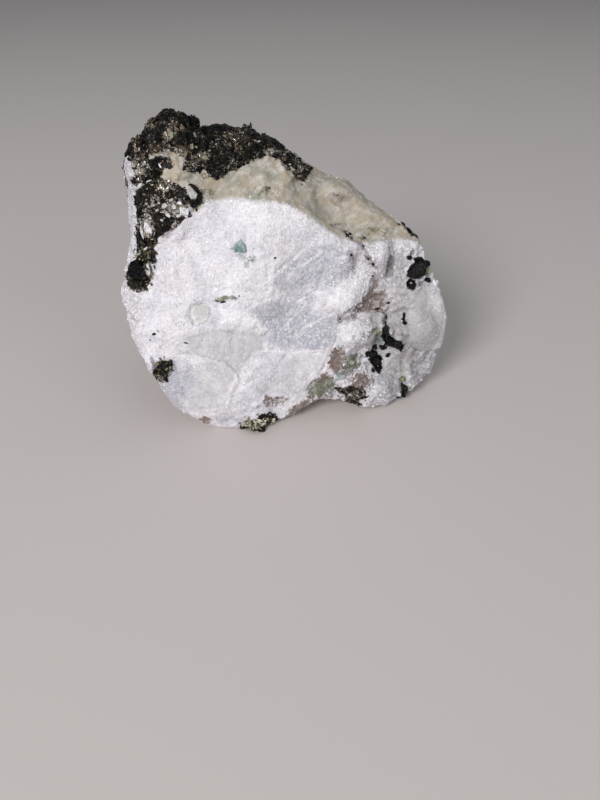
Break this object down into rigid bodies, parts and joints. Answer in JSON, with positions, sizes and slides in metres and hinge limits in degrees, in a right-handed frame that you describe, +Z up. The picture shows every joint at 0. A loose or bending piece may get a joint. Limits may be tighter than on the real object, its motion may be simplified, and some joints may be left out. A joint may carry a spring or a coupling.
{
  "type": "rough rainbow moonstone",
  "caption": "Rough broken lump of white rainbow moonstone feldspar with a dark mica crust and small black crystals, resting on a small flat spot.",
  "frame": {"origin": "under the middle of the stone, on the surface that it rests on", "axes": "+Z up, +X along the longest side to the viewer's right, the broken white face looks towards -Y"},
  "size_m": [0.0749, 0.0536, 0.067],
  "materials": {
    "feldspar": "sugary broken surface with smooth glassy cleavage patches",
    "mica": "dark flakes with a bronze sheen",
    "tourmaline": "glossy black"
  },
  "bodies": {
    "root": {"moonstone": "feldspar"}
  },
  "joints": []
}
